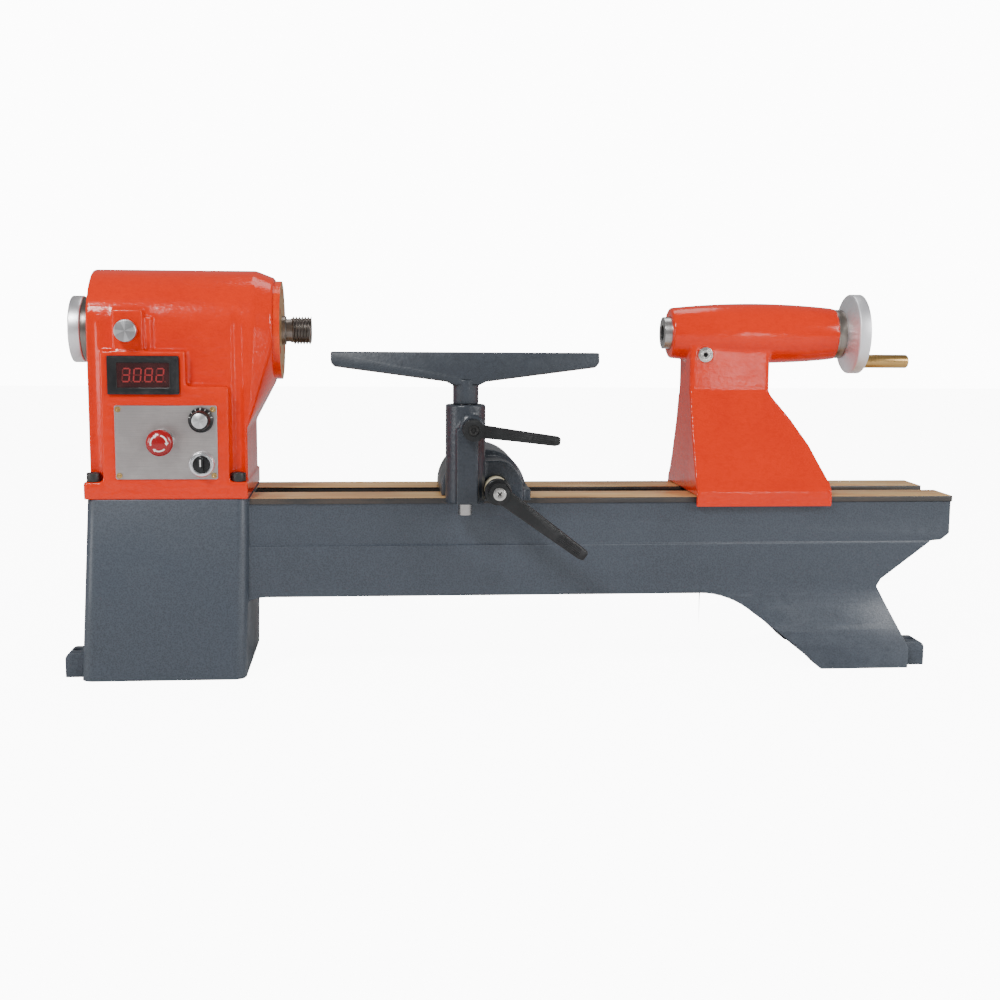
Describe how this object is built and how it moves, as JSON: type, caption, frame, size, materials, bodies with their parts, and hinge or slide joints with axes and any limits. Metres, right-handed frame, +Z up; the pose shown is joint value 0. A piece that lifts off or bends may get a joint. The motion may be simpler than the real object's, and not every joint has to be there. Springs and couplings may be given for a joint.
{
  "type": "wood lathe",
  "caption": "Bench wood lathe: iron bed on a leg and foot, headstock with spindle and controls, tool rest on a banjo with cam lever, tailstock with quill, handwheel and crank.",
  "frame": {"origin": "centre of the four bench bolt holes, on the bench surface", "axes": "+X along the bed from the headstock to the tailstock, -Y towards the operator, +Z up"},
  "size_m": [1.045, 0.2705, 0.466],
  "materials": {
    "bed_paint": "fine-textured dark blue-grey paint, ways machined bare",
    "orange_paint": "glossy orange enamel with soft orange peel",
    "machined_iron": "turned and lightly blotched",
    "steel": "turned, satin",
    "dark_steel": "turned, dark",
    "black_steel": "black oxide",
    "chrome": "polished",
    "panel_steel": "brushed along its width",
    "aluminium": "turned, satin",
    "brass": "polished",
    "black_plastic": "moulded, satin",
    "red_plastic": "moulded, glossy",
    "cream_plastic": "moulded",
    "red_lens": "dark red window",
    "circuit_board": "board with digit modules",
    "belt_rubber": "matte ribbed rubber",
    "motor_paint": "satin black paint"
  },
  "bodies": {
    "lathe_frame": {"bed": "bed_paint", "headstock_housing": "orange_paint", "mounting_bolts": "black_steel", "bearing_cap": "machined_iron", "bearing_cap_screws": "black_steel", "bearing_outer_races": "steel", "display_bezel": "black_plastic", "display_lens": "red_lens", "display_board": "circuit_board", "control_panel": "panel_steel", "panel_screws": "brass", "estop_body": "chrome", "speed_pot": "dark_steel", "selector_switch": "chrome", "belt_cover": "orange_paint", "cover_screws": "black_steel", "drive_belt": "belt_rubber", "motor_housing": "motor_paint", "motor_bracket": "dark_steel", "speed_controller": "aluminium", "leg_cover": "bed_paint", "power_inlet": "black_plastic", "index_bush": "brass", "index_spring": "steel"},
    "spindle": {"spindle": "dark_steel", "spindle_pulley": "aluminium", "spindle_handwheel": "aluminium", "handwheel_ring": "dark_steel", "bearing_inner_races": "steel", "bearing_balls": "steel"},
    "motor_rotor": {"motor_rotor": "steel", "motor_pulley": "aluminium"},
    "index_pin": {"index_pin": "aluminium"},
    "speed_knob": {"speed_knob": "black_plastic"},
    "selector_knob": {"selector_knob": "black_plastic"},
    "estop_stem": {"estop_stem": "steel"},
    "estop_button": {"estop_button": "red_plastic"},
    "banjo_clamp_plate": {"banjo_clamp_plate": "dark_steel"},
    "banjo_clamp_bolt": {"banjo_clamp_bolt": "steel"},
    "banjo": {"banjo_casting": "bed_paint", "cam_bush": "cream_plastic"},
    "banjo_cam": {"cam_shaft": "steel", "banjo_lever": "black_plastic", "banjo_lever_screw": "steel"},
    "rest_lock": {"rest_lock_lever": "black_plastic", "rest_lock_stud": "black_steel"},
    "rest_post": {"rest_post": "steel"},
    "tool_rest": {"tool_rest": "bed_paint"},
    "tailstock": {"tailstock_body": "orange_paint", "tail_collar": "dark_steel", "tailstock_clamp_plate": "dark_steel", "tailstock_clamp_bolt": "steel"},
    "tailstock_lock": {"tailstock_cam_shaft": "steel", "tailstock_lever": "black_plastic"},
    "quill": {"quill": "steel"},
    "tail_feed": {"feed_screw": "dark_steel", "tail_handwheel": "aluminium"},
    "crank_handle": {"crank_handle": "brass"},
    "quill_lock": {"quill_lock_shaft": "steel", "quill_lock_lever": "black_plastic"}
  },
  "joints": [
    {"name": "spindle_spin", "type": "hinge", "parent": "lathe_frame", "child": "spindle", "pos_m": [0, 0, 0.397], "axis": [1, 0, 0], "continuous": true},
    {"name": "motor_spin", "type": "hinge", "parent": "lathe_frame", "child": "motor_rotor", "pos_m": [0, 0, 0.11], "axis": [1, 0, 0], "continuous": true},
    {"name": "index_pin_push", "type": "slide", "parent": "lathe_frame", "child": "index_pin", "axis": [0, 1, 0], "range_m": [0, 0.007], "stiffness_N_per_m": 600, "deforming": ["index_spring"]},
    {"name": "speed_knob_turn", "type": "hinge", "parent": "lathe_frame", "child": "speed_knob", "pos_m": [-0.3485, -0.09, 0.2975], "axis": [0, 1, 0], "range_deg": [-150, 150]},
    {"name": "direction_turn", "type": "hinge", "parent": "lathe_frame", "child": "selector_knob", "pos_m": [-0.3485, -0.09, 0.2475], "axis": [0, 1, 0], "range_deg": [-45, 45]},
    {"name": "estop_press", "type": "slide", "parent": "lathe_frame", "child": "estop_stem", "axis": [0, 1, 0], "range_m": [0, 0.0045]},
    {"name": "estop_twist", "type": "hinge", "parent": "estop_stem", "child": "estop_button", "pos_m": [-0.3924, -0.1, 0.2733], "axis": [0, 1, 0], "range_deg": [0, 30], "stiffness_Nm_per_rad": 0.05},
    {"name": "banjo_slide", "type": "slide", "parent": "lathe_frame", "child": "banjo_clamp_plate", "axis": [1, 0, 0], "range_m": [-0.2, 0.11]},
    {"name": "banjo_swivel", "type": "hinge", "parent": "banjo_clamp_plate", "child": "banjo_clamp_bolt", "pos_m": [-0.017, 0, 0.2], "axis": [0, 0, -1], "range_deg": [-22, 22]},
    {"name": "banjo_cross", "type": "slide", "parent": "banjo_clamp_bolt", "child": "banjo", "axis": [0, 1, 0], "range_m": [-0.02, 0.025]},
    {"name": "banjo_cam", "type": "hinge", "parent": "banjo", "child": "banjo_cam", "pos_m": [-0.017, -0.1, 0.222], "axis": [0, -1, 0], "range_deg": [-70, 20]},
    {"name": "rest_lock_turn", "type": "hinge", "parent": "banjo", "child": "rest_lock", "pos_m": [-0.0455, -0.15, 0.2916], "axis": [0, -1, 0], "range_deg": [-30, 60]},
    {"name": "rest_height", "type": "slide", "parent": "banjo", "child": "rest_post", "axis": [0, 0, 1], "range_m": [0, 0.045]},
    {"name": "rest_swivel", "type": "hinge", "parent": "rest_post", "child": "tool_rest", "pos_m": [-0.052, -0.115, 0.33], "axis": [0, 0, -1], "range_deg": [-45, 45]},
    {"name": "tailstock_slide", "type": "slide", "parent": "lathe_frame", "child": "tailstock", "axis": [1, 0, 0], "range_m": [-0.185, 0.145]},
    {"name": "tailstock_lock_turn", "type": "hinge", "parent": "tailstock", "child": "tailstock_lock", "pos_m": [0.304, 0.09, 0.235], "axis": [0, -1, 0], "range_deg": [-60, 30]},
    {"name": "tail_feed_turn", "type": "hinge", "parent": "tailstock", "child": "tail_feed", "pos_m": [0.42, 0, 0.397], "axis": [-1, 0, 0], "range_deg": [0, 5130]},
    {"name": "quill_feed", "type": "slide", "parent": "tailstock", "child": "quill", "axis": [-1, 0, 0], "range_m": [0, 0.057]},
    {"name": "crank_spin", "type": "hinge", "parent": "tail_feed", "child": "crank_handle", "pos_m": [0.45, 0, 0.364], "axis": [1, 0, 0], "continuous": true},
    {"name": "quill_lock_turn", "type": "hinge", "parent": "tailstock", "child": "quill_lock", "pos_m": [0.2405, 0, 0.37195], "axis": [0, 1, 0], "range_deg": [-30, 30]}
  ],
  "couplings": [
    {"joint": "motor_spin", "follows": "spindle_spin", "ratio": 1.8235},
    {"joint": "quill_feed", "follows": "tail_feed_turn", "m_per_rad": 0.00063662}
  ]
}
